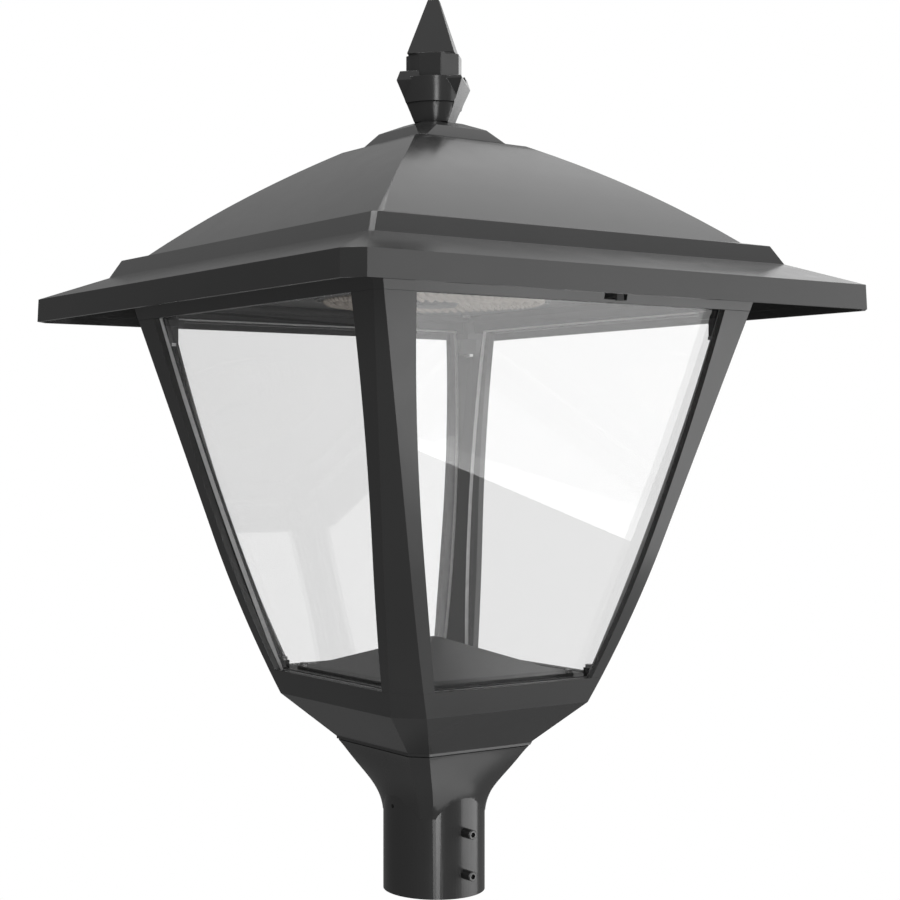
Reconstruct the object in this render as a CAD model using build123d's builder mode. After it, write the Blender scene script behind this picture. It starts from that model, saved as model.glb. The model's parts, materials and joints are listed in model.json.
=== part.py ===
from build123d import *
import os
from math import atan2, cos, radians, sin, sqrt

# Post top lantern, about 0.51 m square and 0.75 m tall, in millimetres.
# The origin is the centre of the socket's mouth, where the lantern meets the top of its post.
# +Z is up, -Y is the side with the roof latch and +Y is the side with the roof hinge.
# A "half" is measured from the axis to a flat side; a "corner" is the leg of a 45 degree cut.

# Clearances
running_gap = 0.05          # a screw or pin in its own hole
seat_gap = 0.3              # faces of pieces that move apart
slot_gap = 1.0              # a tongue or tab in its slot

# Post fitter: a round socket that flares into a square neck
socket_radius = 38.8        # takes a 76 mm post tenon
socket_wall = 4.0
socket_depth = 76.0
stop_thickness = 5.0        # web at the end of the socket that stands on the tenon
wire_hole_radius = 16.0
weep_radius = 1.7
weep_drop = 3.0             # weep hole below the stop web
neck_lap = 10.0             # how far the neck reaches down over the socket
neck_curve_height = 27.0    # curved foot of the neck
neck_flare_height = 30.2    # straight flare above it
neck_foot_set_in = 8.5      # foot's flats inside the round collar
neck_waist_stand_out = 1.2  # waist's flats outside the round collar
neck_top_half = 63.0
neck_foot_corner = 8.0
neck_top_corner = 12.0
neck_bulge = 6.3            # how far the neck's faces bow out at its foot
flattest_bulge = 0.05
neck_sections = 5
neck_cavity_wall = 13.0     # from the neck's top edge to the round cavity
cavity_foot_step = 10.8     # cavity's foot inside the socket's wall

# Set screws that grip the tenon
set_screw_radius = 4.0
set_screw_length = 15.0
set_screw_heights = {"lower": 19.5, "upper": 53.7}
set_screw_recess = 0.2      # how far the tip stands back from the bore
hex_socket_flat = 4.0
hex_socket_depth = 4.5

# Plain screws: hex heads in proportion to their shanks
head_ratio = 1.7
head_height_ratio = 1.1
neck_bolt_radius = 3.0
neck_bolt_inset = 17.0
neck_bolt_depth = 15.0
post_screw_radius = 2.5
cover_screw_radius = 2.0
lens_screw_radius = 1.6
tray_screw_radius = 2.5
tray_screw_depth = 16.0
driver_screw_radius = 2.0
leaf_screw_radius = 2.0
tip_gap = 1.0               # left at the end of a blind hole

# Base pan: the hopper above the neck and the sill that carries the panes
gasket_thickness = 1.0
gasket_inset = 1.6
lip_height = 2.0
lip_stand_out = 1.2         # lip outside the neck
lip_corner = 12.3
hopper_height = 35.8
sill_height = 20.6
cage_bottom_half = 101.7
cage_bottom_corner = 19.8
pan_wall = 4.0
pan_floor = 5.0
sill_plate = 6.0

# Cage: four curved corner posts, straight above the knee and drawn in below it
knee_rise = 138.0           # knee above the cage's foot
knee_half = 142.8
cage_bow = 2.0
window_height = 299.4
head_height = 14.0
cage_top_half = 189.8
cage_top_corner = 4.7
post_wall = 6.0
post_face_foot = 29.35      # from the cage's side to the window, at the sill
post_face_head = 33.74      # the same, at the head
window_bow = 7.4
post_pad = 6.0              # flanges that the posts are screwed down by
pad_skin = 0.5              # of the post left outside its pads

# Panes
pane_thickness = 4.0
pane_setback = 7.0          # from the outside of the cage to the pane
pane_overlap = 5.0          # how far a pane reaches behind the posts
pane_rise = 2.0             # above the posts, into the head frame
pane_groove = 3.0
pane_play = 0.9             # in the sill's groove

# Wiring cover in the floor of the lamp chamber
cover_margin = 15.7         # cover's border inside the cage's foot
cover_flange = 10.0
cover_screw_inset = 6.0
cover_lap = 20.0            # border over the edge of the opening
cover_border = 2.0
cover_rise = 29.0
cover_peak_half = 3.0
cover_wall = 4.0

# Electrical pieces under the cover
terminal_length = 36.0
terminal_width = 30.0
terminal_height = 20.0
terminal_edge = 3.0
pole_pitch = 11.0
pole_radius = 3.2
pole_depth = 8.0
surge_side = 32.0
surge_height = 26.0
surge_corner = 4.0
pan_wall_gap = 8.2

# Head frame
head_web = 6.0
head_flange = 3.5
flange_reach = 32.8         # from the cage's top edge to the flange's inner edge
pad_gap = 4.0               # from a pane's edge to the foot pads
head_pad_gap = 2.3
clamp_lap = 5.0             # clamps over the panes' corners
clamp_screw_inset = 26.8
clamp_boss_radius = 6.0
clamp_height = 14.0
clamp_leg = 22.0
gasket_gap = 1.5            # roof gasket outside the flange's inner edge
gasket_width = 6.0
roof_gasket_height = 2.2

# Roof
skirt_drop = 0.3            # roof's lower edge below the head frame
fascia_height = 19.6
eave_overhang = 64.9        # beyond the cage's top edge
fascia_draft = 0.7
eave_rise = 18.3
eave_run = 49.5
band_height = 15.0
band_draft = 8.0
ledge_rise = 3.3
ledge_run = 16.3
dome_rise = 84.3
dome_top_half = 57.7
dome_bow = 3.9
crown_rise = 2.8
crown_run = 12.1
roof_corner = 12.9
band_corner = 3.0
dome_corner = 5.0
roof_wall = 3.5
boss_radius = 7.0
boss_inset = 9.0            # tray bosses inside the flange's edge

# Roof cap and finial
cap_slope_height = 10.8
cap_chamfer_height = 7.2
cap_shoulder_half = 38.5
cap_shoulder_corner = 12.3
cap_top_half = 20.0
cap_top_corner = 5.8
finial_swell = 34.0         # cap to waist
spire_height = 71.6         # waist to tip
finial_foot_radius = 20.0
finial_waist_radius = 38.8
finial_tip_radius = 6.4
groove_rise = 2.6
groove_height = 20.9
groove_radius = 24.1
spire_point_rise = 8.0      # the side points carry on this far above the waist
belt_rise = 15.5
belt_radius = 31.0
drum_radius = 27.5
drum_foot_radius = 22.0
stud_radius = 4.0
stud_grip = 40.0
stud_end = 6.4              # of the stud below the nut
nut_flat = 13.0
nut_height = 6.5
nut_washer = 1.6
nut_washer_radius = 12.0

# Gear tray, lamp and driver under the roof
tray_inset = 7.8
tray_thickness = 2.5
tray_corner = 12.0
board_radius = 101.0
board_thickness = 1.6
lens_base = 2.0
lens_drop = 3.5
lens_rings = {40.0: 12, 62.0: 20, 84.0: 28}
lens_cup_radius = 7.0
lens_draft = 30
lens_screw_inset = 5.0
lens_screw_count = 6
sensor_radius = 21.0
sensor_height = 7.0
sensor_edge = 2.5
sink_base = 4.0
sink_gap = 12.0             # heat sink to driver
fin_height = 24.0
fin_thickness = 2.4
fin_count = 15
driver_length = 150.0
driver_width = 52.0
driver_height = 30.0
driver_edge = 4.0
driver_inset = 26.0
driver_foot = 12.0
driver_foot_thickness = 3.0
driver_foot_set_in = 5.0
lead_hole_radius = 8.0

# Hinge at the back of the head frame
hinge_stand_off = 9.2       # pin behind the cage's top edge
hinge_rise = 6.0            # pin above the foot of the head frame
pin_radius = 2.5
pin_head = 1.5
pin_end = 2.0
knuckle_radius = 4.6
knuckle_length = 24.0
leaf_thickness = 2.5
leaf_reach = 24.0           # leaf's foot on the tray
leaf_edge = 2.0
leaf_span = 70.0
leaf_screw_spread = 26.0
leaf_screw_inset = 10.0
bracket_height = 8.0

# Latch behind the front of the head frame
latch_slot_left = 23.0
latch_travel = 7.0
tab_width = 7.0
tab_stand_out = 3.0
tab_thickness = 3.0
tab_lip = 2.5
slot_rise = 2.5
slot_height = 6.5
latch_left = 14.0
latch_right = 38.0
latch_inset = 11.8          # slide behind the cage's top edge
latch_depth = 10.0
latch_rise = 4.2
tongue_width = 3.0
tongue_height = 3.0
tongue_rise = 1.5
tongue_reach = 6.5
guide_wall = 2.5
guide_lap = 4.0
guide_shelf = 5.0
keeper_thickness = 3.0
keeper_width = 8.0
keeper_inset = 1.0

# Levels, from the bottom to the top
neck_foot = socket_depth - neck_lap
neck_waist = neck_foot + neck_curve_height
neck_top = neck_waist + neck_flare_height
pan_foot = neck_top + gasket_thickness
pan_deck = pan_foot + pan_floor
hopper_foot = pan_foot + lip_height
cage_bottom = hopper_foot + hopper_height
sill_top = cage_bottom + sill_height
sill_under = sill_top - sill_plate
knee_height = cage_bottom + knee_rise
head_bottom = sill_top + window_height
cage_top = head_bottom + head_height
flange_bottom = cage_top - head_flange
tray_bottom = cage_top + roof_gasket_height + seat_gap
tray_top = tray_bottom + tray_thickness
roof_bottom = head_bottom - skirt_drop
fascia_top = roof_bottom + fascia_height
eave_top = fascia_top + eave_rise
band_top = eave_top + band_height
dome_foot = band_top + ledge_rise
dome_top = dome_foot + dome_rise
roof_top = dome_top + crown_rise
cap_shoulder = roof_top + cap_slope_height
cap_top = cap_shoulder + cap_chamfer_height
finial_waist = cap_top + finial_swell
finial_tip = finial_waist + spire_height

root2 = sqrt(2)
corner_shrink = 2 - root2   # of a 45 degree cut when a wall moves in by one
sides = {"front": 0, "right": 90, "back": 180, "left": 270}
corners = {"front_left": 270, "front_right": 0, "back_right": 90, "back_left": 180}
os.makedirs("parts", exist_ok=True)


def save(part, name):
    """Label one finished piece and write it."""
    part.label = name
    export_step(part, f"parts/{name}.step")


def between(value, low, high, low_result, high_result):
    """Straight-line value between two known ones."""
    return low_result + (high_result - low_result) * (value - low) / (high - low)


def cage_half(height):
    """Half-width of the cage across its flats."""
    if height >= knee_height:
        return between(height, knee_height, cage_top, knee_half, cage_top_half)
    share = between(height, cage_bottom, knee_height, 0, 1)
    chord = between(height, cage_bottom, knee_height, cage_bottom_half, knee_half)
    return chord + 4 * cage_bow * share * (1 - share)


def cage_corner(height):
    """Corner leg of the cage, which narrows towards the top."""
    return between(height, cage_bottom, cage_top, cage_bottom_corner, cage_top_corner)


def octagon(half, corner):
    """Square outline across flats with its corners cut at 45 degrees."""
    reach = half - corner
    with BuildLine() as outline:
        Polyline(
            (half, -reach), (half, reach), (reach, half), (-reach, half),
            (-half, reach), (-half, -reach), (-reach, -half), (reach, -half),
            close=True,
        )
    make_face(outline.edges())


def half_outline(steps):
    """Closed symmetric outline from (half, height, bow) steps, bottom to top."""
    with BuildLine() as outline:
        for start, end in zip(steps, steps[1:]):
            if end[2]:
                SagittaArc((start[0], start[1]), (end[0], end[1]), -end[2])
            else:
                Line((start[0], start[1]), (end[0], end[1]))
        Line((0, steps[0][1]), (steps[0][0], steps[0][1]))
        Line((steps[-1][0], steps[-1][1]), (0, steps[-1][1]))
        mirror(about=Plane.YZ)
    make_face(outline.edges())


def upright(turn):
    """Vertical plane through the axis: front elevation turned about +Z."""
    angle = radians(turn)
    return Plane((0, 0, 0), x_dir=(cos(angle), sin(angle), 0), z_dir=(sin(angle), -cos(angle), 0))


def crossed(elevations, inset=0.0, mouth=0.0):
    """Body that each (steps, turn) elevation outlines from its own side.

    An inset makes the same body smaller all round, and a mouth carries it on below its foot.
    """
    reach = 4 * max(step[0] for steps, turn in elevations for step in steps)
    with BuildPart() as body:
        for number, (steps, turn) in enumerate(elevations):
            with BuildSketch(upright(turn)):
                half_outline(steps)
                if inset:
                    offset(amount=-inset, kind=Kind.INTERSECTION)
                if mouth:
                    with Locations((0, steps[0][1])):
                        Rectangle(2 * (steps[0][0] - inset), 2 * mouth)
            extrude(amount=reach, both=True, mode=Mode.INTERSECT if number else Mode.ADD)
    return body.part


def four_sided(steps, corner_cuts=None, inset=0.0, mouth=0.0):
    """Body with one outline on its four sides and its corners cut by a leg at each step."""
    elevations = [(steps, 0), (steps, 90)]
    if corner_cuts:
        diagonal = [((2 * half - cut) / root2, height, bow * root2)
                    for (half, height, bow), cut in zip(steps, corner_cuts)]
        elevations += [(diagonal, 45), (diagonal, 135)]
    return crossed(elevations, inset, mouth)


def cage_body(low, high, inset=0.0):
    """The cage's outside, or its inside at a wall's thickness, between two heights."""
    steps = [
        (cage_bottom_half, cage_bottom, 0),
        (knee_half, knee_height, cage_bow),
        (cage_top_half, cage_top, 0),
    ]
    cuts = [max(cage_corner(height) - corner_shrink * inset, 1.0) for half, height, bow in steps]
    whole = four_sided([(half - inset, height, bow) for half, height, bow in steps], cuts)
    with BuildPart() as body:
        add(whole)
        with BuildSketch(Plane.XY.offset(low)):
            Rectangle(3 * cage_top_half, 3 * cage_top_half)
        extrude(amount=high - low, mode=Mode.INTERSECT)
    return body.part


def block(x_range, y_range, z_range, mode=Mode.ADD):
    """Box between two corners."""
    with BuildSketch(Plane.XY.offset(z_range[0])) as footprint:
        with Locations(((x_range[0] + x_range[1]) / 2, (y_range[0] + y_range[1]) / 2)):
            Rectangle(x_range[1] - x_range[0], y_range[1] - y_range[0])
    extrude(footprint.sketch, amount=z_range[1] - z_range[0], mode=mode)


def rod(radius, low, high, places=((0, 0),), mode=Mode.ADD):
    """Upright round bar, or the hole for one, at each place."""
    with BuildSketch(Plane.XY.offset(low)) as section:
        with Locations(*places):
            Circle(radius)
    extrude(section.sketch, amount=high - low, mode=mode)


def square_of(half):
    """The four corner places of a square fastener pattern."""
    return [(half, -half), (half, half), (-half, half), (-half, -half)]


def screws(places, tip, seat, radius):
    """Hex-head screws from their tips to the face under their heads, a solid each."""
    outward = 1 if seat > tip else -1
    with BuildPart() as group:
        rod(radius, min(tip, seat), max(tip, seat), places)
        with BuildSketch(Plane.XY.offset(seat)):
            with Locations(*places):
                RegularPolygon(head_ratio * radius, 6)
        extrude(amount=outward * head_height_ratio * radius)
    return group.part


# Post fitter: the neck is a loft from a round-sided square to a flat-sided one
collar_radius = socket_radius + socket_wall
neck_foot_half = collar_radius - neck_foot_set_in
neck_waist_half = collar_radius + neck_waist_stand_out
cavity_foot_radius = socket_radius - cavity_foot_step
cavity_top_radius = neck_top_half - neck_cavity_wall
neck_bolt_spread = neck_top_half - neck_bolt_inset
chamber_foot = socket_depth + stop_thickness


def neck_half(height):
    """Half-width of the neck: straight above its waist, a parabola below."""
    slope = (neck_top_half - neck_waist_half) / neck_flare_height
    straight = neck_waist_half + slope * (height - neck_waist)
    if height >= neck_waist:
        return straight
    share = (neck_waist - height) / neck_curve_height
    straight_foot = neck_waist_half - slope * neck_curve_height
    return straight + (neck_foot_half - straight_foot) * share**2


with BuildPart() as post_fitter:
    for section in range(neck_sections + 1):
        share = section / neck_sections
        height = between(share, 0, 1, neck_foot, neck_top)
        half = neck_half(height)
        reach = half - between(share, 0, 1, neck_foot_corner, neck_top_corner)
        crown = half + max(neck_bulge * (1 - share), flattest_bulge)
        with BuildSketch(Plane.XY.offset(height)):
            with BuildLine():
                for turn in sides.values():
                    start, middle, end, next_start = [
                        Vector(x, y).rotate(Axis.Z, turn)
                        for x, y in ((-reach, -half), (0, -crown), (reach, -half), (half, -reach))
                    ]
                    ThreePointArc(start, middle, end)
                    Line(end, next_start)
            make_face()
    loft()
    rod(collar_radius, 0, neck_waist - tip_gap)
    rod(socket_radius, 0, socket_depth, mode=Mode.SUBTRACT)
    rod(wire_hole_radius, socket_depth, chamber_foot, mode=Mode.SUBTRACT)
    with BuildSketch(Plane.XZ):
        with BuildLine():
            Polyline((0, chamber_foot), (cavity_foot_radius, chamber_foot),
                     (cavity_top_radius, neck_top), (0, neck_top), close=True)
        make_face()
    revolve(axis=Axis.Z, mode=Mode.SUBTRACT)
    with BuildSketch(Plane.XZ):
        with Locations(*[(0, height) for height in set_screw_heights.values()]):
            Circle(set_screw_radius + running_gap)
    extrude(amount=2 * socket_radius, both=True, mode=Mode.SUBTRACT)
    with BuildSketch(Plane.YZ.offset(-collar_radius - socket_wall)):
        with Locations((0, socket_depth - weep_drop)):
            Circle(weep_radius)
    extrude(amount=3 * socket_wall, mode=Mode.SUBTRACT)
    rod(neck_bolt_radius, neck_top - neck_bolt_depth, neck_top, square_of(neck_bolt_spread),
        mode=Mode.SUBTRACT)
save(post_fitter.part, "post_fitter")

for side in ("front", "back"):
    for level, height in set_screw_heights.items():
        tip = socket_radius + set_screw_recess
        with BuildPart() as set_screw:
            with BuildSketch(upright(sides[side]).offset(tip)):
                with Locations((0, height)):
                    Circle(set_screw_radius)
            extrude(amount=set_screw_length)
            outer_end = set_screw.edges().group_by(Axis.Y)[0 if side == "front" else -1]
            chamfer(outer_end, set_screw_radius / 5)
            with BuildSketch(upright(sides[side]).offset(tip + set_screw_length)):
                with Locations((0, height)):
                    RegularPolygon(hex_socket_flat / sqrt(3), 6)
            extrude(amount=-hex_socket_depth, mode=Mode.SUBTRACT)
        save(set_screw.part, f"set_screw_{side}_{level}")

with BuildPart() as neck_gasket:
    with BuildSketch(Plane.XY.offset(neck_top)):
        octagon(neck_top_half - gasket_inset, neck_top_corner)
        Circle(cavity_top_radius, mode=Mode.SUBTRACT)
        with Locations(*square_of(neck_bolt_spread)):
            Circle(neck_bolt_radius + seat_gap, mode=Mode.SUBTRACT)
    extrude(amount=gasket_thickness)
save(neck_gasket.part, "neck_gasket")

# Base pan: one hollow casting, open under the wiring cover
lip_half = neck_top_half + lip_stand_out
pan_inside = cage_bottom_half - 1.5 * pan_wall
cover_border_half = cage_bottom_half - cover_margin
cover_screw_spread = cover_border_half - cover_screw_inset
pan_opening_half = cover_border_half - cover_lap
window_bottom_half = cage_half(sill_top) - post_face_foot
window_top_half = cage_half(head_bottom) - post_face_head
foot_pad_start = window_bottom_half + pane_overlap + pad_gap
post_screw_spread = foot_pad_start + pad_gap
groove_out = cage_half(sill_top) - pane_setback + pane_play
groove_in = groove_out - pane_thickness - 2 * pane_play
groove_half = window_bottom_half + pane_overlap + 2 * pane_play
with BuildPart() as base_pan:
    add(four_sided(
        [(lip_half, pan_foot, 0), (lip_half, hopper_foot, 0), (cage_bottom_half, cage_bottom, 0)],
        [lip_corner, lip_corner, cage_bottom_corner]))
    add(cage_body(cage_bottom, sill_top))
    add(four_sided(
        [(lip_half - pan_wall, pan_deck, 0), (pan_inside, cage_bottom + pan_wall / 2, 0),
         (pan_inside, sill_under, 0)],
        [lip_corner, cage_bottom_corner, cage_bottom_corner]), mode=Mode.SUBTRACT)
    block((-pan_opening_half, pan_opening_half), (-pan_opening_half, pan_opening_half),
          (sill_under, sill_top), mode=Mode.SUBTRACT)
    rod(wire_hole_radius, pan_foot, pan_deck, mode=Mode.SUBTRACT)
    rod(neck_bolt_radius + seat_gap, pan_foot, pan_deck, square_of(neck_bolt_spread),
        mode=Mode.SUBTRACT)
    for turn in sides.values():
        with BuildSketch(Plane.XY.offset(sill_top - pane_groove - seat_gap).rotated((0, 0, turn))):
            with Locations((0, -(groove_in + groove_out) / 2)):
                Rectangle(2 * groove_half, groove_out - groove_in)
        extrude(amount=pane_groove + seat_gap, mode=Mode.SUBTRACT)
    rod(post_screw_radius, sill_under, sill_top, square_of(post_screw_spread), mode=Mode.SUBTRACT)
    rod(cover_screw_radius, sill_under, sill_top, square_of(cover_screw_spread),
        mode=Mode.SUBTRACT)
save(base_pan.part, "base_pan")

save(screws(square_of(neck_bolt_spread), neck_top - neck_bolt_depth + tip_gap, pan_deck,
            neck_bolt_radius - running_gap), "neck_bolts")

block_edge = lip_half - pan_wall - pan_wall_gap
terminal_middle = block_edge - terminal_width / 2
with BuildPart() as terminal_block:
    block((block_edge - terminal_width, block_edge), (-terminal_length / 2, terminal_length / 2),
          (pan_deck, pan_deck + terminal_height))
    chamfer(terminal_block.edges().filter_by(Axis.Y).group_by(Axis.Z)[-1], terminal_edge)
    rod(pole_radius, pan_deck + terminal_height - pole_depth, pan_deck + terminal_height,
        [(terminal_middle, pole * pole_pitch) for pole in (-1, 0, 1)], mode=Mode.SUBTRACT)
save(terminal_block.part, "terminal_block")

with BuildPart() as surge_protector:
    block((-block_edge, surge_side - block_edge), (-surge_side / 2, surge_side / 2),
          (pan_deck, pan_deck + surge_height))
    fillet(surge_protector.edges().filter_by(Axis.Z), surge_corner)
save(surge_protector.part, "surge_protector")

cover_half = cover_border_half - cover_flange
with BuildPart() as wiring_cover:
    with BuildSketch(Plane.XY.offset(sill_top)):
        octagon(cover_border_half, cover_screw_inset)
    extrude(amount=cover_border)
    add(four_sided([(cover_half, sill_top + cover_border, 0),
                    (cover_peak_half, sill_top + cover_rise, 0)]))
    add(four_sided([(cover_half - cover_wall, sill_top, 0),
                    (cover_peak_half, sill_top + cover_rise - cover_wall, 0)]),
        mode=Mode.SUBTRACT)
    rod(cover_screw_radius + running_gap, sill_top, sill_top + cover_border,
        square_of(cover_screw_spread), mode=Mode.SUBTRACT)
save(wiring_cover.part, "wiring_cover")

save(screws(square_of(cover_screw_spread), sill_under + tip_gap, sill_top + cover_border,
            cover_screw_radius - running_gap), "cover_screws")

# Corner posts: the cage's shell between the four windows, with flanges at foot and head
head_pad_start = window_top_half + pane_overlap + head_pad_gap
clamp_start = head_pad_start - clamp_lap
clamp_screw_spread = cage_top_half - clamp_screw_inset
clamp_inset = pane_setback + pane_thickness + slot_gap
clamp_top = head_bottom - post_pad
clamp_bottom = clamp_top - clamp_height
with BuildPart() as post_shells:
    add(cage_body(sill_top, head_bottom))
    add(cage_body(sill_top, head_bottom, inset=post_wall), mode=Mode.SUBTRACT)
    for turn in (0, 90):
        with BuildSketch(upright(turn)):
            half_outline([(window_bottom_half, sill_top, 0),
                          (window_top_half, head_bottom, window_bow)])
        extrude(amount=2 * cage_top_half, both=True, mode=Mode.SUBTRACT)
corner_shell = post_shells.solids().sort_by(Axis.X)[-2:].sort_by(Axis.Y)[0]

with BuildPart() as corner_pads:
    block((foot_pad_start, cage_top_half), (-cage_top_half, -foot_pad_start),
          (sill_top, sill_top + post_pad))
    block((head_pad_start, cage_top_half), (-cage_top_half, -head_pad_start),
          (clamp_top, head_bottom))
    add(cage_body(sill_top, head_bottom, inset=pad_skin), mode=Mode.INTERSECT)

with BuildPart() as head_pad:
    block((clamp_start, cage_top_half), (-cage_top_half, -clamp_start), (clamp_top, head_bottom))
    add(cage_body(sill_top, head_bottom, inset=clamp_inset), mode=Mode.INTERSECT)

with BuildPart() as corner_post:
    add(corner_shell)
    add(corner_pads.part)
    add(head_pad.part)
    rod(post_screw_radius + running_gap, sill_top, sill_top + post_pad,
        ((post_screw_spread, -post_screw_spread),), mode=Mode.SUBTRACT)
    rod(post_screw_radius + running_gap, clamp_top, head_bottom,
        ((clamp_screw_spread, -clamp_screw_spread),), mode=Mode.SUBTRACT)

for name, turn in corners.items():
    with BuildPart() as post:
        add(corner_post.part, rotation=(0, 0, turn))
    save(post.part, f"corner_post_{name}")

save(screws(square_of(post_screw_spread), sill_under + tip_gap, sill_top + post_pad,
            post_screw_radius - running_gap), "post_screws")

# Panes: their edges follow the windows, a step behind the posts
pane_lean = atan2(cage_half(head_bottom) - cage_half(sill_top), window_height)
for side, turn in sides.items():
    outward = Vector(0, -cos(pane_lean), -sin(pane_lean)).rotate(Axis.Z, turn)
    foot = Vector(0, pane_setback - cage_half(sill_top), sill_top).rotate(Axis.Z, turn)
    level = Vector(1, 0, 0).rotate(Axis.Z, turn)
    foot_lift = pane_thickness * sin(pane_lean)
    with BuildPart() as pane:
        with BuildSketch(Plane(foot, x_dir=level, z_dir=outward)):
            half_outline([
                (window_bottom_half + pane_overlap, foot_lift - pane_groove, 0),
                (window_top_half + pane_overlap, (window_height + pane_rise) / cos(pane_lean),
                 window_bow),
            ])
        extrude(amount=-pane_thickness)
    save(pane.part, f"{side}_pane")

# Head frame: the ring that closes the cage and carries the roof, and the clamps below it
flange_half = cage_top_half - flange_reach
latch_front = latch_inset - cage_top_half
latch_back = latch_front + latch_depth
latch_bottom = head_bottom + latch_rise
latch_top = flange_bottom - seat_gap
slot_right = latch_slot_left + 2 * latch_travel + tab_width + 2 * slot_gap
keeper_left = latch_right + tongue_reach + 1.5 * slot_gap
keeper_front = latch_front + keeper_inset
with BuildPart() as head_frame:
    add(cage_body(head_bottom, cage_top))
    add(cage_body(head_bottom, cage_top, inset=head_web), mode=Mode.SUBTRACT)
    with BuildSketch(Plane.XY.offset(flange_bottom)):
        octagon(cage_half(flange_bottom) - head_web / 2, cage_top_corner + head_web / 2)
        Rectangle(2 * flange_half, 2 * flange_half, mode=Mode.SUBTRACT)
    extrude(amount=head_flange)
    rod(clamp_boss_radius, head_bottom, flange_bottom, square_of(clamp_screw_spread))
    rod(post_screw_radius + running_gap, head_bottom, flange_bottom,
        square_of(clamp_screw_spread), mode=Mode.SUBTRACT)
    block((latch_slot_left, slot_right), (-cage_top_half, latch_front - slot_gap),
          (head_bottom + slot_rise, head_bottom + slot_rise + slot_height), mode=Mode.SUBTRACT)
    block((keeper_left - slot_gap, keeper_left + keeper_thickness + slot_gap),
          (keeper_front - slot_gap, keeper_front + keeper_width + slot_gap),
          (flange_bottom, cage_top), mode=Mode.SUBTRACT)
save(head_frame.part, "head_frame")

with BuildPart() as pane_clamps:
    for turn in corners.values():
        corner_x = Vector(1, 0, 0).rotate(Axis.Z, turn)
        with BuildSketch(Plane((0, 0, clamp_bottom), x_dir=corner_x, z_dir=(0, 0, 1))):
            with BuildLine():
                Polyline(
                    (clamp_start, -cage_top_half), (cage_top_half, -cage_top_half),
                    (cage_top_half, -clamp_start), (clamp_start + clamp_leg / 2, -clamp_start),
                    (clamp_start, -clamp_start - clamp_leg / 2), close=True,
                )
            make_face()
        extrude(amount=clamp_height)
    add(cage_body(clamp_bottom, clamp_top, inset=clamp_inset), mode=Mode.INTERSECT)
    rod(post_screw_radius + running_gap, clamp_bottom, clamp_top,
        square_of(clamp_screw_spread), mode=Mode.SUBTRACT)
save(pane_clamps.part, "pane_clamps")

save(screws(square_of(clamp_screw_spread), flange_bottom - tip_gap, clamp_bottom,
            post_screw_radius), "clamp_screws")

gasket_inside = flange_half + gasket_gap
gasket_outside = gasket_inside + gasket_width
with BuildPart() as roof_gasket:
    with BuildSketch(Plane.XY.offset(cage_top)):
        Rectangle(2 * gasket_outside, 2 * gasket_outside)
        Rectangle(2 * gasket_inside, 2 * gasket_inside, mode=Mode.SUBTRACT)
    extrude(amount=roof_gasket_height)
save(roof_gasket.part, "roof_gasket")

# Roof shell: fascia, hipped eave, band and bowed dome, with pillars under it for the tray
fascia_half = cage_top_half + eave_overhang
eave_half = fascia_half - fascia_draft - eave_run
band_half = eave_half - band_draft
dome_foot_half = band_half - ledge_run
crown_half = dome_top_half - crown_run
boss_spread = flange_half - boss_inset
roof_steps = [
    (fascia_half, roof_bottom, 0),
    (fascia_half - fascia_draft, fascia_top, 0),
    (eave_half, eave_top, 0),
    (band_half, band_top, 0),
    (dome_foot_half, dome_foot, 0),
    (dome_top_half, dome_top, dome_bow),
    (crown_half, roof_top, 0),
]
roof_cuts = [roof_corner, roof_corner, band_corner, band_corner, band_corner,
             dome_corner, dome_corner]
roof_outside = four_sided(roof_steps, roof_cuts)
roof_inside = four_sided(roof_steps, roof_cuts, inset=roof_wall, mouth=2 * roof_wall)
with BuildPart() as tray_pillars:
    rod(boss_radius, tray_top, roof_top, square_of(boss_spread))
    add(roof_inside, mode=Mode.INTERSECT)
    rod(tray_screw_radius, tray_top, tray_top + tray_screw_depth, square_of(boss_spread),
        mode=Mode.SUBTRACT)
save(tray_pillars.part, "tray_pillars")

with BuildPart() as roof_shell:
    add(roof_outside)
    add(roof_inside, mode=Mode.SUBTRACT)
    rod(stud_radius + running_gap, dome_foot, roof_top, mode=Mode.SUBTRACT)
save(roof_shell.part, "roof_shell")

with BuildPart() as roof_cap:
    add(four_sided(
        [(crown_half, roof_top, 0), (cap_shoulder_half, cap_shoulder, 0),
         (cap_top_half, cap_top, 0)],
        [dome_corner, cap_shoulder_corner, cap_top_corner]))
    rod(stud_radius + running_gap, roof_top, cap_top, mode=Mode.SUBTRACT)
save(roof_cap.part, "roof_cap")

# Finial: a square double spire whose side faces also trim the round belt and drum below its groove
spire_steps = [(radius / root2, height, 0) for radius, height in (
    (finial_foot_radius, cap_top), (finial_waist_radius, finial_waist),
    (finial_tip_radius, finial_tip))]
groove_bottom = finial_waist + groove_rise
groove_top = groove_bottom + groove_height
point_top = finial_waist + spire_point_rise
belt_bottom = cap_top + belt_rise
with BuildPart() as belted_drum:
    rod(belt_radius, belt_bottom, groove_bottom)
    with BuildSketch(Plane.XZ):
        with BuildLine():
            Polyline((0, cap_top), (drum_foot_radius, cap_top), (drum_radius, belt_bottom),
                     (0, belt_bottom), close=True)
        make_face()
    revolve(axis=Axis.Z)
    add(crossed([(spire_steps, -45)]), mode=Mode.INTERSECT)

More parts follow.
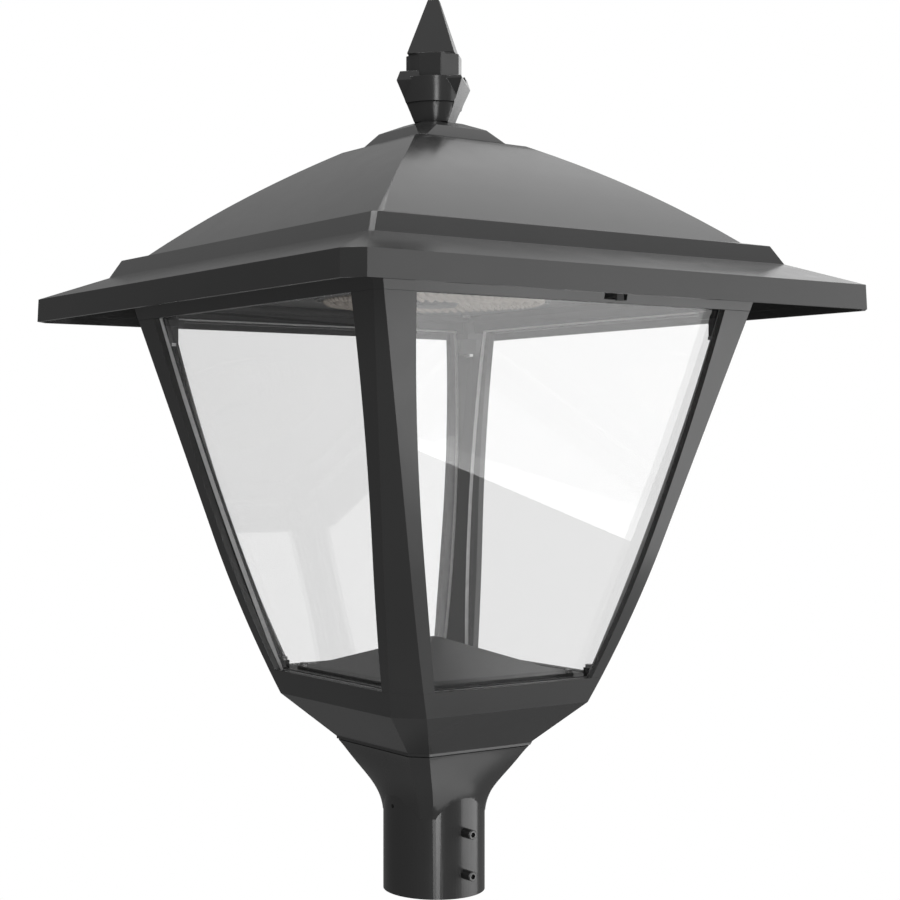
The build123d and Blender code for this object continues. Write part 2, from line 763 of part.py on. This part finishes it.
with BuildPart() as finial:
    add(crossed([(spire_steps, -45), (spire_steps, 45)]))
    with BuildSketch(Plane.XY.offset(point_top)):
        Circle(2 * finial_waist_radius)
        RegularPolygon(groove_radius, 8, rotation=22.5, mode=Mode.SUBTRACT)
    extrude(amount=groove_top - point_top, mode=Mode.SUBTRACT)
    with BuildSketch(Plane.XY.offset(groove_bottom)):
        Rectangle(2 * groove_radius, 4 * groove_radius)
        RegularPolygon(groove_radius, 8, rotation=22.5, mode=Mode.SUBTRACT)
    extrude(amount=point_top - groove_bottom, mode=Mode.SUBTRACT)
    with BuildSketch(Plane.XY.offset(groove_bottom)):
        RegularPolygon(groove_radius, 8, rotation=22.5)
    extrude(amount=groove_height)
    add(belted_drum.part)
    rod(stud_radius + running_gap, cap_top, cap_top + stud_grip, mode=Mode.SUBTRACT)
save(finial.part, "finial")

nut_top = roof_top - roof_wall
nut_bottom = nut_top - nut_washer - nut_height
with BuildPart() as finial_stud:
    rod(stud_radius, nut_bottom - stud_end, cap_top + stud_grip - tip_gap)
    chamfer(finial_stud.edges().group_by(Axis.Z)[0], stud_radius / 5)
save(finial_stud.part, "finial_stud")

with BuildPart() as finial_nut:
    rod(nut_washer_radius, nut_top - nut_washer, nut_top)
    with BuildSketch(Plane.XY.offset(nut_bottom)):
        RegularPolygon(nut_flat / sqrt(3), 6)
    extrude(amount=nut_height)
    rod(stud_radius + running_gap, nut_bottom, nut_top, mode=Mode.SUBTRACT)
save(finial_nut.part, "finial_nut")

# Gear tray with the lamp below it, and the heat sink and driver above it
tray_half = cage_top_half - tray_inset
with BuildPart() as gear_tray:
    block((-tray_half, tray_half), (-tray_half, tray_half), (tray_bottom, tray_top))
    chamfer(gear_tray.edges().filter_by(Axis.Z), tray_corner)
    rod(tray_screw_radius + running_gap, tray_bottom, tray_top, square_of(boss_spread),
        mode=Mode.SUBTRACT)
    rod(lead_hole_radius, tray_bottom, tray_top, mode=Mode.SUBTRACT)
save(gear_tray.part, "gear_tray")

save(screws(square_of(boss_spread), tray_top + tray_screw_depth - tip_gap, tray_bottom,
            tray_screw_radius - running_gap), "tray_screws")

driver_middle = tray_half - driver_inset - driver_width / 2
sink_half = driver_middle - driver_width / 2 - sink_gap
with BuildPart() as heat_sink:
    block((-sink_half, sink_half), (-sink_half, sink_half), (tray_top, tray_top + sink_base))
    with BuildSketch(Plane.XY.offset(tray_top + sink_base)):
        with GridLocations(0, 2 * (sink_half - fin_thickness) / (fin_count - 1), 1, fin_count):
            Rectangle(2 * sink_half, fin_thickness)
    extrude(amount=fin_height)
    rod(lead_hole_radius, tray_top, tray_top + sink_base + fin_height, mode=Mode.SUBTRACT)
save(heat_sink.part, "heat_sink")

board_bottom = tray_bottom - board_thickness
lens_bottom = board_bottom - lens_base
lens_screw_circle = board_radius - lens_screw_inset
lens_screw_places = [
    Vector(lens_screw_circle, 0).rotate(Axis.Z, (number + 0.5) * 360 / lens_screw_count)
    for number in range(lens_screw_count)
]
with BuildPart() as led_board:
    rod(board_radius, board_bottom, tray_bottom)
    rod(lead_hole_radius, board_bottom, tray_bottom, mode=Mode.SUBTRACT)
    rod(lens_screw_radius, board_bottom, tray_bottom, lens_screw_places, mode=Mode.SUBTRACT)
save(led_board.part, "led_board")

with BuildPart() as lens_plate:
    rod(board_radius, lens_bottom, board_bottom)
    rod(sensor_radius + seat_gap, lens_bottom, board_bottom, mode=Mode.SUBTRACT)
    for ring_radius, count in lens_rings.items():
        with BuildSketch(Plane.XY.offset(lens_bottom)):
            with PolarLocations(ring_radius, count):
                RegularPolygon(lens_cup_radius, 4)
        extrude(amount=-lens_drop, taper=lens_draft)
    rod(lens_screw_radius, lens_bottom, board_bottom, lens_screw_places, mode=Mode.SUBTRACT)
save(lens_plate.part, "lens_plate")

save(screws(lens_screw_places, tray_bottom - running_gap, lens_bottom,
            lens_screw_radius - running_gap), "lens_screws")

with BuildPart() as sensor_cap:
    rod(sensor_radius, board_bottom - sensor_height, board_bottom)
    chamfer(sensor_cap.edges().group_by(Axis.Z)[0], sensor_edge)
save(sensor_cap.part, "sensor_cap")

driver_near = driver_middle - driver_width / 2
driver_far = driver_middle + driver_width / 2
driver_end = driver_length / 2 + driver_foot
driver_screw_places = [(driver_middle, (driver_end - driver_foot / 2) * end) for end in (-1, 1)]
with BuildPart() as driver:
    block((driver_near, driver_far), (-driver_length / 2, driver_length / 2),
          (tray_top, tray_top + driver_height))
    fillet(driver.edges().filter_by(Axis.Y), driver_edge)
    block((driver_near + driver_foot_set_in, driver_far - driver_foot_set_in),
          (-driver_end, driver_end), (tray_top, tray_top + driver_foot_thickness))
    rod(driver_screw_radius + running_gap, tray_top, tray_top + driver_foot_thickness,
        driver_screw_places, mode=Mode.SUBTRACT)
save(driver.part, "driver")

save(screws(driver_screw_places, tray_top + running_gap, tray_top + driver_foot_thickness,
            driver_screw_radius), "driver_screws")

# Roof hinge: a leaf under the tray's edge that turns between two knuckles on the head frame
hinge_y = cage_top_half + hinge_stand_off
hinge_z = head_bottom + hinge_rise
arm_back = hinge_y + knuckle_radius
arm_front = arm_back - leaf_thickness
leaf_top = tray_top + leaf_thickness
leaf_foot_y = tray_half - leaf_reach
leaf_screw_places = [(leaf_screw_spread * side, leaf_foot_y + leaf_screw_inset)
                     for side in (-1, 1)]
with BuildPart() as hinge_leaf:
    with BuildSketch(Plane.YZ.offset(-knuckle_length / 2)):
        with BuildLine():
            Polyline((arm_front, hinge_z), (arm_back, hinge_z), (arm_back, leaf_top),
                     (leaf_foot_y, leaf_top), (leaf_foot_y, tray_top), (arm_front, tray_top),
                     close=True)
        make_face()
        with Locations((hinge_y, hinge_z)):
            Circle(knuckle_radius)
            Circle(pin_radius + running_gap, mode=Mode.SUBTRACT)
    extrude(amount=knuckle_length)
    block((-leaf_span / 2, leaf_span / 2), (leaf_foot_y, tray_half - leaf_edge),
          (tray_top, leaf_top))
    rod(leaf_screw_radius + running_gap, tray_top, leaf_top, leaf_screw_places,
        mode=Mode.SUBTRACT)
save(hinge_leaf.part, "hinge_leaf")

save(screws(leaf_screw_places, tray_top + running_gap, leaf_top, leaf_screw_radius),
     "hinge_leaf_screws")

bracket_low = hinge_z - bracket_height / 2
bracket_high = hinge_z + bracket_height / 2
knuckle_start = knuckle_length / 2 + seat_gap
knuckle_end = knuckle_start + knuckle_length
with BuildPart() as hinge_bracket:
    for start in (knuckle_start, -knuckle_end):
        with BuildSketch(Plane.YZ.offset(start)):
            with BuildLine():
                Polyline((cage_half(bracket_low), bracket_low), (hinge_y, bracket_low),
                         (hinge_y, bracket_high), (cage_half(bracket_high), bracket_high),
                         close=True)
            make_face()
            with Locations((hinge_y, hinge_z)):
                Circle(knuckle_radius)
                Circle(pin_radius + running_gap, mode=Mode.SUBTRACT)
        extrude(amount=knuckle_length)
    with BuildSketch(Plane.YZ.offset(-knuckle_end)):
        with BuildLine():
            Polyline((cage_half(bracket_low), bracket_low),
                     (cage_half(bracket_low) + leaf_thickness, bracket_low),
                     (cage_half(bracket_high) + leaf_thickness, bracket_high),
                     (cage_half(bracket_high), bracket_high), close=True)
        make_face()
    extrude(amount=2 * knuckle_end)
save(hinge_bracket.part, "hinge_bracket")

with BuildPart() as hinge_pin:
    with BuildSketch(Plane.YZ.offset(-knuckle_end - pin_end)):
        with Locations((hinge_y, hinge_z)):
            Circle(pin_radius)
    extrude(amount=2 * (knuckle_end + pin_end))
    with BuildSketch(Plane.YZ.offset(knuckle_end + seat_gap)):
        with Locations((hinge_y, hinge_z)):
            Circle(pin_radius + pin_head)
    extrude(amount=pin_end)
save(hinge_pin.part, "hinge_pin")

# Roof latch: a slide behind the head frame whose tongue passes through the roof's keeper
tab_left = (latch_slot_left + slot_right - tab_width) / 2
tab_end = -cage_top_half - tab_stand_out
tongue_bottom = latch_bottom + tongue_rise
tongue_front = (latch_front + latch_back - tongue_width) / 2
tongue_back = tongue_front + tongue_width
with BuildPart() as latch_slide:
    block((latch_left, latch_right), (latch_front, latch_back), (latch_bottom, latch_top))
    block((latch_right, latch_right + tongue_reach), (tongue_front, tongue_back),
          (tongue_bottom, tongue_bottom + tongue_height))
    block((tab_left, tab_left + tab_width), (tab_end, latch_front),
          (latch_bottom, latch_bottom + tab_thickness))
    block((tab_left, tab_left + tab_width), (tab_end, tab_end + tab_lip),
          (latch_bottom - tab_thickness, latch_bottom + tab_thickness))
save(latch_slide.part, "latch_slide")

guide_front = latch_back + seat_gap
guide_back = guide_front + guide_wall
guide_bottom = latch_bottom - seat_gap - guide_wall
with BuildPart() as latch_guide:
    block((latch_left - guide_lap, latch_right + guide_lap), (guide_front, guide_back),
          (guide_bottom, flange_bottom))
    block((latch_left - guide_lap, latch_right + guide_lap),
          (latch_back - guide_shelf, guide_back), (guide_bottom, guide_bottom + guide_wall))
save(latch_guide.part, "latch_guide")

with BuildPart() as latch_keeper:
    block((keeper_left, keeper_left + keeper_thickness),
          (keeper_front, keeper_front + keeper_width), (latch_bottom, tray_bottom))
    block((keeper_left, keeper_left + keeper_thickness),
          (tongue_front - seat_gap, tongue_back + seat_gap),
          (tongue_bottom - seat_gap, tongue_bottom + tongue_height + seat_gap),
          mode=Mode.SUBTRACT)
save(latch_keeper.part, "latch_keeper")
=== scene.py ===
import bpy
import json
import math
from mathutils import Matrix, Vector


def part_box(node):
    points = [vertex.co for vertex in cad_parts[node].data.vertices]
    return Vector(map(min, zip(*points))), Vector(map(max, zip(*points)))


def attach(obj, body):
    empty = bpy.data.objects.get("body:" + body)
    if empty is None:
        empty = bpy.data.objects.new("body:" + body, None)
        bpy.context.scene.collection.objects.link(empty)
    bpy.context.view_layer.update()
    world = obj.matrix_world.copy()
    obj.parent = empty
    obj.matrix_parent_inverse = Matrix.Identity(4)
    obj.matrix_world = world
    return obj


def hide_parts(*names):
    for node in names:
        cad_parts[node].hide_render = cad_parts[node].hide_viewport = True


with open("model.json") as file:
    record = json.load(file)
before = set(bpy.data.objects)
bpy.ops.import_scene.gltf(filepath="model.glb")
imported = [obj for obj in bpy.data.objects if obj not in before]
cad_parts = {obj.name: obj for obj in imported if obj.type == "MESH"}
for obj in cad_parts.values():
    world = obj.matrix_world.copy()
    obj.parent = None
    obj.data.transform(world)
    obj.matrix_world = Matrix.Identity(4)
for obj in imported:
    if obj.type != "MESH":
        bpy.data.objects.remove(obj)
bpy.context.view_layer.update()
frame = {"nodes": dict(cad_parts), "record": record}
nodes = frame["nodes"]
behaviour = frame["record"]["behaviour"]
bodyOf = {name: body for body, names in behaviour["bodies"].items() for name in names}
slotOf = {part["node"]: part["material_slot"] for part in frame["record"]["subparts"]}
mm = 0.001


def deselectAll():
    if bpy.context.mode != "OBJECT":
        bpy.ops.object.mode_set(mode="OBJECT")
    bpy.ops.object.select_all(action="DESELECT")


def makeActive(piece):
    deselectAll()
    piece.select_set(True)
    bpy.context.view_layer.objects.active = piece


# level camera at the photograph's place, turned towards the lantern's near corner; angles in degrees
cameraView = {"place": (-0.8749, -1.1839, 0.372), "tilt": 90, "turn": -33.44, "lens": 69.6, "film": 36,
              "shift": (0.120, -0.0039)}


def placeCamera():
    data = bpy.data.cameras.new("photoCamera")
    data.lens = cameraView["lens"]
    data.sensor_width = cameraView["film"]
    data.shift_x, data.shift_y = cameraView["shift"]
    camera = bpy.data.objects.new("photoCamera", data)
    bpy.context.scene.collection.objects.link(camera)
    camera.location = cameraView["place"]
    camera.rotation_euler = (math.radians(cameraView["tilt"]), 0, math.radians(cameraView["turn"]))
    bpy.context.scene.camera = camera


# soft boxes round the lantern: turn runs from the camera towards the right of the picture and rise runs
# up from level, both in degrees; sizes are in metres and power in watts
softBoxes = {
    "rightPanel": {"turn": 76, "rise": 6, "size": (2.2, 1.5), "power": 14},
    "frontStrip": {"turn": 5, "rise": 8, "size": (0.4, 1.4), "power": 11},
    "collarStrip": {"turn": 4.5, "rise": -17, "size": (0.5, 0.6), "power": 5.5},
    "collarPanel": {"turn": 86, "rise": -17, "size": (2.1, 0.6), "power": 10},
    "lowPanel": {"turn": 72, "rise": -32, "size": (1.8, 0.8), "power": 2.0},
    "underPanel": {"turn": 66, "rise": -62, "size": (1.8, 1.4), "power": 10},
    "backPanel": {"turn": 138, "rise": 48, "size": (1.7, 1.5), "power": 6},
    "eavePanel": {"turn": 157, "rise": 17, "size": (0.9, 0.7), "power": 2.0},
    "topPanel": {"turn": 60, "rise": 75, "size": (1.2, 1.2), "power": 7.5},
    "bandEdgeLight": {"turn": -63, "rise": 77, "size": (0.3, 0.3), "power": 5},
    "capEdgeLight": {"turn": 180, "rise": 64, "size": (0.3, 0.3), "power": 3},
}
boxDistance = 2.4
lampAim = Vector((0, 0, 0.38))


def placeSoftBox(name, box):
    data = bpy.data.lights.new(name, "AREA")
    data.shape = "RECTANGLE"
    data.size, data.size_y = box["size"]
    data.energy = box["power"]
    lamp = bpy.data.objects.new(name, data)
    bpy.context.scene.collection.objects.link(lamp)
    # the camera's turn is measured from the y axis, so it stands a quarter turn back from the x axis
    turn = math.radians(cameraView["turn"] - 90 + box["turn"])
    rise = math.radians(box["rise"])
    out = Vector((math.cos(turn) * math.cos(rise), math.sin(turn) * math.cos(rise), math.sin(rise)))
    lamp.location = lampAim + boxDistance * out
    lamp.rotation_euler = (-out).to_track_quat("-Z", "Y").to_euler()
    lamp.visible_camera = False


class Wire:
    # a socket that adds its own Math nodes, so that shader maths is written as sums
    def __init__(self, sheet, socket):
        self.sheet = sheet
        self.socket = socket

    def maths(self, operation, *values):
        return self.sheet.add("ShaderNodeMath", {"operation": operation}, dict(enumerate(values)))

    def __add__(self, other):
        return self.maths("ADD", self, other)

    def __sub__(self, other):
        return self.maths("SUBTRACT", self, other)

    def __mul__(self, other):
        return self.maths("MULTIPLY", self, other)

    def __pow__(self, other):
        return self.maths("POWER", self, other)

    __radd__ = __add__
    __rmul__ = __mul__


# the part of a noise texture's values that is stretched over the wanted range
noiseRange = (0.3, 0.7)


class Sheet:
    # one node tree; add() makes any node from its settings and the values or wires of its sockets
    def __init__(self, tree):
        self.tree = tree
        tree.nodes.clear()

    def add(self, kind, settings=None, inputs=None, output=0):
        node = self.tree.nodes.new(kind)
        for key, value in (settings or {}).items():
            setattr(node, key, value)
        for key, value in (inputs or {}).items():
            if isinstance(value, Wire):
                self.tree.links.new(value.socket, node.inputs[key])
            else:
                node.inputs[key].default_value = value
        return Wire(self, node.outputs[output])

    def noise(self, scale, detail):
        place = self.add("ShaderNodeTexCoord", output="Object")
        return self.add("ShaderNodeTexNoise", None, {"Vector": place, "Scale": scale, "Detail": detail})

    def spread(self, wire, low, high, source=noiseRange):
        return self.add("ShaderNodeMapRange", None, {
            "Value": wire, "From Min": source[0], "From Max": source[1], "To Min": low, "To Max": high})

    def tint(self, factor, low, high):
        # sockets 6 and 7 and output 2 are the ones for colours
        return self.add("ShaderNodeMix", {"data_type": "RGBA"}, {0: factor, 6: low, 7: high}, output=2)

    def bump(self, height, distance, under=None):
        inputs = {"Height": height, "Distance": distance}
        if under:
            inputs["Normal"] = under
        return self.add("ShaderNodeBump", None, inputs)

    def close(self, shader, kind="ShaderNodeOutputMaterial"):
        output = self.tree.nodes.new(kind)
        self.tree.links.new(shader.socket, output.inputs["Surface"])

    def coat(self, colour, rough, relief, metallic=0.0):
        self.close(self.add("ShaderNodeBsdfPrincipled", None, {
            "Base Color": colour, "Roughness": rough, "Normal": relief, "Metallic": metallic}))


def newMaterial(name):
    material = bpy.data.materials.new(name)
    material.use_nodes = True
    return material, Sheet(material.node_tree)


def grey(value, warm=0.0):
    return (value * (1 + warm), value, value * (1 - warm), 1)


# white room: white to the camera, dim as a light, and to gloss dark low down and brighter above; rise is
# the upright part of a direction, 1 being straight up
room = {"light": 0.19, "shown": 1.0, "glossLow": 0.17, "glossHigh": 0.8, "rise": (0.15, 0.98)}


def paintRoom():
    world = bpy.data.worlds.new("whiteRoom")
    bpy.context.scene.world = world
    world.use_nodes = True
    sheet = Sheet(world.node_tree)
    isCamera = sheet.add("ShaderNodeLightPath", output="Is Camera Ray")
    isGlossy = sheet.add("ShaderNodeLightPath", output="Is Glossy Ray")
    direction = sheet.add("ShaderNodeTexCoord", output="Generated")
    rise = sheet.add("ShaderNodeSeparateXYZ", None, {"Vector": direction}, output="Z")
    gleam = sheet.spread(rise, room["glossLow"], room["glossHigh"], room["rise"])
    strength = (room["light"] + (room["shown"] - room["light"]) * isCamera
                + (gleam - room["light"]) * isGlossy)
    sheet.close(sheet.add("ShaderNodeBackground", None, {"Color": grey(1.0), "Strength": strength}),
                "ShaderNodeOutputWorld")


placeCamera()
for boxName, box in softBoxes.items():
    placeSoftBox(boxName, box)
paintRoom()
bpy.context.scene.view_settings.view_transform = "Standard"
print("camera, lamps and room set")

# satin powder coat on cast aluminium: slight orange peel with a fine grain. In this and the finishes below
# a pair is a noise's scale and detail, and a depth is in metres
castCoat = {"colour": 0.045, "spread": 0.003, "cloud": (9, 3), "gloss": 0.2, "glossSpread": 0.02,
            "patches": (40, 4), "peel": (380, 1), "peelDepth": 0.002 * mm, "grain": (2400, 1),
            "grainDepth": 0.001 * mm}


def powderCoat(name, look):
    material, sheet = newMaterial(name)
    cloud = sheet.spread(sheet.noise(*look["cloud"]), 0, 1)
    colour = sheet.tint(cloud, grey(look["colour"] - look["spread"]), grey(look["colour"] + look["spread"]))
    patches = sheet.noise(*look["patches"])
    rough = sheet.spread(patches, look["gloss"] - look["glossSpread"], look["gloss"] + look["glossSpread"])
    relief = sheet.bump(sheet.noise(*look["grain"]), look["grainDepth"])
    sheet.coat(colour, rough, sheet.bump(sheet.noise(*look["peel"]), look["peelDepth"], relief))
    return material


metalSkin = {"patches": (300, 3), "smoother": 0.05, "rougher": 0.08, "grain": (1500, 2),
             "grainDepth": 0.004 * mm}


def plainMetal(name, colour, gloss):
    material, sheet = newMaterial(name)
    patches = sheet.noise(*metalSkin["patches"])
    rough = sheet.spread(patches, gloss - metalSkin["smoother"], gloss + metalSkin["rougher"])
    relief = sheet.bump(sheet.noise(*metalSkin["grain"]), metalSkin["grainDepth"])
    sheet.coat(grey(colour), rough, relief, metallic=1.0)
    return material


plasticSkin = {"cloud": (60, 3), "darker": 0.93, "lighter": 1.07, "patches": (200, 3), "glossSpread": 0.05,
               "grain": (1800, 2), "grainDepth": 0.005 * mm}


def mouldedPlastic(name, colour, gloss, warm=0.0):
    material, sheet = newMaterial(name)
    cloud = sheet.spread(sheet.noise(*plasticSkin["cloud"]), 0, 1)
    shade = sheet.tint(cloud, grey(colour * plasticSkin["darker"], warm),
                       grey(colour * plasticSkin["lighter"], warm))
    patches = sheet.noise(*plasticSkin["patches"])
    rough = sheet.spread(patches, gloss - plasticSkin["glossSpread"], gloss + plasticSkin["glossSpread"])
    sheet.coat(shade, rough, sheet.bump(sheet.noise(*plasticSkin["grain"]), plasticSkin["grainDepth"]))
    return material


# faces of the panes: clear, with a mirror gleam that grows towards grazing
paneLook = {"clear": 0.967, "mirror": 0.048, "blend": 0.5, "growth": 5}


def clearGlass(name):
    material, sheet = newMaterial(name)
    facing = sheet.add("ShaderNodeLayerWeight", None, {"Blend": paneLook["blend"]}, output="Facing")
    gleam = paneLook["mirror"] + (1 - paneLook["mirror"]) * facing ** paneLook["growth"]
    clear = sheet.add("ShaderNodeBsdfTransparent", None, {"Color": grey(paneLook["clear"])})
    mirror = sheet.add("ShaderNodeBsdfGlossy", None, {"Color": grey(1.0), "Roughness": 0.0})
    sheet.close(sheet.add("ShaderNodeMixShader", None, {0: gleam, 1: clear, 2: mirror}))
    return material


finishes = {
    "cast_housing": powderCoat("castCoat", castCoat),
    "tray_paint": powderCoat("trayCoat", {**castCoat, "colour": 0.08, "gloss": 0.45}),
    "pane_glass": clearGlass("paneGlass"),
    "black_steel": plainMetal("blackSteel", colour=0.15, gloss=0.35),
    "bright_steel": plainMetal("brightSteel", colour=0.55, gloss=0.3),
    "seal_rubber": mouldedPlastic("sealRubber", colour=0.02, gloss=0.7),
    "lens_plastic": mouldedPlastic("lensPlastic", colour=0.42, gloss=0.22, warm=0.12),
    "board_white": mouldedPlastic("boardWhite", colour=0.72, gloss=0.4),
    "black_plastic": mouldedPlastic("blackPlastic", colour=0.05, gloss=0.45),
    "bare_aluminium": plainMetal("bareAluminium", colour=0.6, gloss=0.4),
    "driver_case": plainMetal("driverCase", colour=0.4, gloss=0.45),
}
for name, node in nodes.items():
    node.data.materials.clear()
    node.data.materials.append(finishes[slotOf[name]])
print("finishes on the frame")

# castings and sheet pieces: the same shapes with their sharp edges eased by this many millimetres; the
# post fitter is smoothed and not eased
easedEdges = {"roof_shell": 0.6, "roof_cap": 0.5, "finial": 0.4, "post_fitter": 0, "base_pan": 0.5,
              "head_frame": 0.4, "corner_post_front_left": 0.45, "corner_post_front_right": 0.45,
              "corner_post_back_left": 0.45, "corner_post_back_right": 0.45, "wiring_cover": 0.6,
              "pane_clamps": 0.4, "gear_tray": 0.3, "driver": 0.4, "hinge_bracket": 0.3, "hinge_leaf": 0.3,
              "latch_slide": 0.3}
# sharper, flat and smooth are angles in degrees: sharper edges are eased, flatter joints between faces are
# merged, and joints up to the last angle are shaded smooth; join is in metres
easing = {"sharper": 20, "flat": 0.4, "join": 0.002 * mm, "smooth": 32, "steps": 2}
# a lower limit for smooth shading, which keeps the creases of the neck crisp
ownSmoothing = {"post_fitter": 9}


def copyNode(name):
    piece = bpy.data.objects.new(name.replace("_", "-") + "-eased", nodes[name].data.copy())
    bpy.context.scene.collection.objects.link(piece)
    makeActive(piece)
    bpy.ops.object.mode_set(mode="EDIT")
    bpy.ops.mesh.select_all(action="SELECT")
    bpy.ops.mesh.remove_doubles(threshold=easing["join"])
    bpy.ops.mesh.dissolve_limited(angle_limit=math.radians(easing["flat"]))
    bpy.ops.object.mode_set(mode="OBJECT")
    return piece


def bevelEdges(piece, width, steps):
    bevel = piece.modifiers.new("easedEdge", "BEVEL")
    bevel.width = width * mm
    bevel.segments = steps
    bevel.limit_method = "ANGLE"
    bevel.angle_limit = math.radians(easing["sharper"])
    bpy.ops.object.modifier_apply(modifier=bevel.name)


def settle(piece, name):
    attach(piece, bodyOf[name])
    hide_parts(name)


def easeEdges(name, width):
    piece = copyNode(name)
    if width:
        bevelEdges(piece, width, easing["steps"])
    bpy.ops.object.shade_smooth_by_angle(angle=math.radians(ownSmoothing.get(name, easing["smooth"])))
    flats = piece.modifiers.new("flatFaces", "WEIGHTED_NORMAL")
    flats.keep_sharp = True
    bpy.ops.object.modifier_apply(modifier=flats.name)
    settle(piece, name)


for name, width in easedEdges.items():
    easeEdges(name, width)
print("edges eased on", len(easedEdges), "pieces")

# panes: the faces that look the way the largest one does stay clear, and the narrow ones are ground
paneEdge = {"arris": 0.3, "steps": 1, "sameWay": 0.9}
groundLook = {"dark": 0.5, "light": 0.6, "cloud": (150, 3), "grain": (2600, 1), "grainDepth": 0.01 * mm,
              "patches": (500, 2), "glossLow": 0.35, "glossHigh": 0.5}


def groundEdge(name, look):
    material, sheet = newMaterial(name)
    cloud = sheet.spread(sheet.noise(*look["cloud"]), 0, 1)
    shade = sheet.tint(cloud, grey(look["dark"]), grey(look["light"]))
    relief = sheet.bump(sheet.noise(*look["grain"]), look["grainDepth"])
    rough = sheet.spread(sheet.noise(*look["patches"]), look["glossLow"], look["glossHigh"])
    sheet.coat(shade, rough, relief)
    return material


def makePane(name, edgeFinish):
    piece = copyNode(name)
    bevelEdges(piece, paneEdge["arris"], paneEdge["steps"])
    piece.data.materials.append(edgeFinish)
    largest = max(piece.data.polygons, key=lambda face: face.area).normal.copy()
    for face in piece.data.polygons:
        if abs(face.normal.dot(largest)) < paneEdge["sameWay"]:
            face.material_index = 1
    settle(piece, name)


edgeFinish = groundEdge("paneEdge", groundLook)
for name in nodes:
    if name.endswith("_pane"):
        makePane(name, edgeFinish)
print("panes cut and edged")

# lens plate, in millimetres and degrees: a disc with rings (radius, number) of long pillow lenses under it,
# each leaning by the same angle from the line to the middle and sunk a little into the disc
lensPlate = {"rings": ((27, 22), (36, 30), (45, 38), (54, 46), (63, 54), (72, 62), (81, 70), (90, 78)),
             "length": 9.4, "width": 4.0, "depth": 3.3, "sink": 0.1, "lean": 38, "sides": 8, "rows": 8,
             "smooth": 60, "rim": 72, "edge": 0.5, "edgeSteps": 2}
lensGap = {"colour": 0.09, "gloss": 0.4, "warm": 0.05}


def makeLensPlate(name):
    low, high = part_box(name)
    middle = (Vector(low) + Vector(high)) / 2
    radius = (high[0] - low[0]) / 2
    deck = low[2] + lensPlate["depth"] * mm
    deselectAll()
    bpy.ops.mesh.primitive_cylinder_add(vertices=lensPlate["rim"], radius=radius, depth=high[2] - deck,
                                        location=(middle.x, middle.y, (deck + high[2]) / 2))
    plate = bpy.context.object
    plate.name = "lens-plate-disc"
    bpy.ops.object.transform_apply(location=True, rotation=True, scale=True)
    bpy.ops.object.mode_set(mode="EDIT")
    bpy.ops.mesh.select_all(action="SELECT")
    bpy.ops.mesh.bevel(offset=lensPlate["edge"] * mm, segments=lensPlate["edgeSteps"])
    bpy.ops.object.mode_set(mode="OBJECT")
    bpy.ops.object.shade_smooth_by_angle(angle=math.radians(easing["smooth"]))
    plate.data.materials.append(mouldedPlastic("lensGap", **lensGap))
    lenses = [plate]
    deselectAll()
    # a ball one unit across, so that its scale is the lens's size
    bpy.ops.mesh.primitive_uv_sphere_add(segments=lensPlate["sides"], ring_count=lensPlate["rows"],
                                         radius=0.5)
    pillow = bpy.context.object
    pillow.scale = (lensPlate["length"] * mm, lensPlate["width"] * mm, 2 * lensPlate["depth"] * mm)
    bpy.ops.object.transform_apply(location=False, rotation=False, scale=True)
    bpy.ops.object.mode_set(mode="EDIT")
    bpy.ops.mesh.select_all(action="SELECT")
    bpy.ops.mesh.bisect(plane_co=(0, 0, lensPlate["sink"] * mm), plane_no=(0, 0, 1), clear_outer=True,
                        use_fill=True)
    bpy.ops.object.mode_set(mode="OBJECT")
    bpy.ops.object.shade_smooth_by_angle(angle=math.radians(lensPlate["smooth"]))
    pillow.data.materials.append(finishes[slotOf[name]])
    for ringRadius, count in lensPlate["rings"]:
        for number in range(count):
            around = 2 * math.pi * number / count
            lens = bpy.data.objects.new("lens", pillow.data.copy())
            bpy.context.scene.collection.objects.link(lens)
            lens.location = (middle.x + ringRadius * mm * math.cos(around),
                             middle.y + ringRadius * mm * math.sin(around), deck)
            lens.rotation_euler = (0, 0, around + math.radians(lensPlate["lean"]))
            lenses.append(lens)
    bpy.data.objects.remove(pillow)
    deselectAll()
    for lens in lenses:
        lens.select_set(True)
    bpy.context.view_layer.objects.active = plate
    bpy.ops.object.join()
    bpy.ops.object.transform_apply(location=True, rotation=True, scale=True)
    settle(plate, name)


makeLensPlate("lens_plate")
print("lens plate made")
